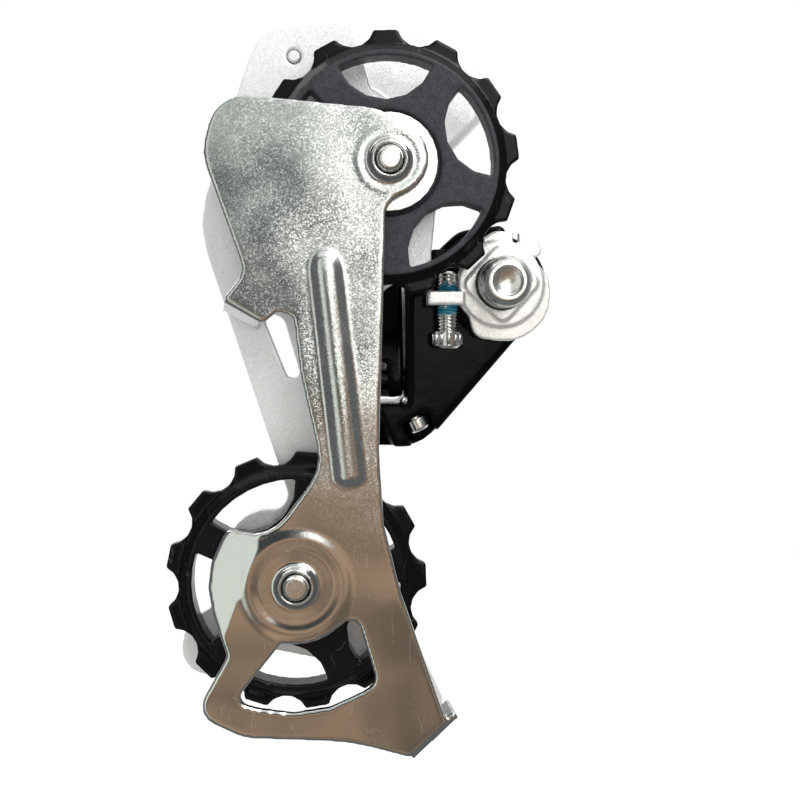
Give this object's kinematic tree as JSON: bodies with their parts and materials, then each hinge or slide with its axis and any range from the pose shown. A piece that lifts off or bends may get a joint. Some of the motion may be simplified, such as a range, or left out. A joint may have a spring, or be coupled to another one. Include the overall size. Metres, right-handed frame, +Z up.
{
  "type": "rear bicycle derailleur",
  "caption": "Rear bicycle derailleur with a long two-plate cage, toothed guide and tension pulleys, a sprung parallelogram of two links, two knuckles and a threaded hanger bolt.",
  "frame": {"origin": "on the hanger bolt's axis, at the stop plate's seat face that rests against the frame's hanger", "axes": "+Z up as shown with the cage hanging, +Y outboard along the hanger bolt from its threaded end to its head, +X towards the side of the hanger bolt away from the cage"},
  "size_m": [0.0779, 0.056, 0.1497],
  "materials": {
    "zinc_plate": "bright zinc plated sheet steel with fine spangle and scratches",
    "silver_paint": "pale silver metallic paint, satin",
    "black_paint": "gloss black paint on cast metal",
    "black_nylon": "moulded black nylon with a fine grain",
    "nickel_steel": "nickel plated steel",
    "spring_steel": "oiled spring steel"
  },
  "bodies": {
    "hanger_side": {"mounting_bolt": "nickel_steel", "stop_plate": "zinc_plate", "bolt_clip": "spring_steel"},
    "tension_screw": {"b_tension_screw": "nickel_steel"},
    "b_body": {"b_knuckle": "black_paint", "b_spring": "spring_steel", "b_inner_pin": "nickel_steel", "b_outer_pin": "nickel_steel", "adjuster_spring": "spring_steel"},
    "high_screw": {"high_limit_screw": "nickel_steel"},
    "low_screw": {"low_limit_screw": "nickel_steel"},
    "adjuster": {"barrel_adjuster": "black_nylon"},
    "outer_arm": {"outer_link": "silver_paint", "cable_clamp_washer": "zinc_plate", "return_spring": "spring_steel"},
    "anchor_screw": {"cable_anchor_bolt": "nickel_steel"},
    "inner_arm": {"inner_link": "black_paint"},
    "p_body": {"p_knuckle": "silver_paint", "p_spring": "spring_steel", "p_seal": "black_nylon", "p_inner_pin": "nickel_steel", "p_outer_pin": "nickel_steel"},
    "cage": {"inner_cage_plate": "zinc_plate", "outer_cage_plate": "silver_paint", "cage_stop_pin": "nickel_steel", "p_axle": "nickel_steel", "guide_bush": "spring_steel", "guide_cap_inner": "nickel_steel", "guide_cap_outer": "nickel_steel", "guide_bolt": "nickel_steel", "tension_bush": "spring_steel", "tension_cap_inner": "nickel_steel", "tension_cap_outer": "nickel_steel", "tension_bolt": "nickel_steel"},
    "guide_wheel": {"guide_pulley": "black_nylon"},
    "tension_wheel": {"tension_pulley": "black_nylon"}
  },
  "joints": [
    {"name": "b_pivot", "type": "hinge", "parent": "hanger_side", "child": "b_body", "pos_m": [0, 0.015, 0], "axis": [0, 1, 0], "range_deg": [0, 35], "stiffness_Nm_per_rad": 0.5, "springref_deg": -85.94},
    {"name": "b_tension_turn", "type": "hinge", "parent": "hanger_side", "child": "tension_screw", "pos_m": [-0.011, 0.0015, 0], "axis": [0, 0, 1], "range_deg": [-360, 360]},
    {"name": "high_limit_turn", "type": "hinge", "parent": "b_body", "child": "high_screw", "pos_m": [-0.0171, 0.009, -0.0283], "axis": [-0.4311, 0, 0.9023], "range_deg": [-360, 360]},
    {"name": "low_limit_turn", "type": "hinge", "parent": "b_body", "child": "low_screw", "pos_m": [-0.0279, 0.009, -0.0283], "axis": [-0.4311, 0, 0.9023], "range_deg": [-360, 360]},
    {"name": "adjuster_turn", "type": "hinge", "parent": "b_body", "child": "adjuster", "pos_m": [-0.0305, 0.0156, -0.026], "axis": [0, 0.4472, 0.8944], "range_deg": [-360, 360]},
    {"name": "outer_link_swing", "type": "hinge", "parent": "b_body", "child": "outer_arm", "pos_m": [-0.0275, 0.023, -0.02], "axis": [1, 0, 0], "range_deg": [0, 48], "stiffness_Nm_per_rad": 0.5, "springref_deg": -85.94, "deforming": ["return_spring"]},
    {"name": "anchor_turn", "type": "hinge", "parent": "outer_arm", "child": "anchor_screw", "pos_m": [-0.0276, 0.03196, 0.00758], "axis": [0, 0.9511, -0.309], "range_deg": [-360, 360]},
    {"name": "inner_link_swing", "type": "hinge", "parent": "b_body", "child": "inner_arm", "pos_m": [-0.0275, 0.012, -0.02], "axis": [1, 0, 0], "range_deg": [0, 48]},
    {"name": "p_knuckle_swing", "type": "hinge", "parent": "outer_arm", "child": "p_body", "pos_m": [-0.0275, 0.03536, 0.01804], "axis": [1, 0, 0], "range_deg": [-48, 0]},
    {"name": "cage_pivot", "type": "hinge", "parent": "p_body", "child": "cage", "pos_m": [-0.03164, 0.008, 0.02768], "axis": [0, 1, 0], "range_deg": [0, 105], "stiffness_Nm_per_rad": 0.2, "springref_deg": -143.24},
    {"name": "guide_spin", "type": "hinge", "parent": "cage", "child": "guide_wheel", "pos_m": [-0.0235, -0.0053, 0.0228], "axis": [0, 1, 0], "continuous": true},
    {"name": "tension_spin", "type": "hinge", "parent": "cage", "child": "tension_wheel", "pos_m": [-0.04172, -0.0053, -0.0594], "axis": [0, 1, 0], "continuous": true}
  ],
  "couplings": [
    {"joint": "inner_link_swing", "follows": "outer_link_swing", "ratio": 1},
    {"joint": "p_knuckle_swing", "follows": "outer_link_swing", "ratio": -1}
  ]
}
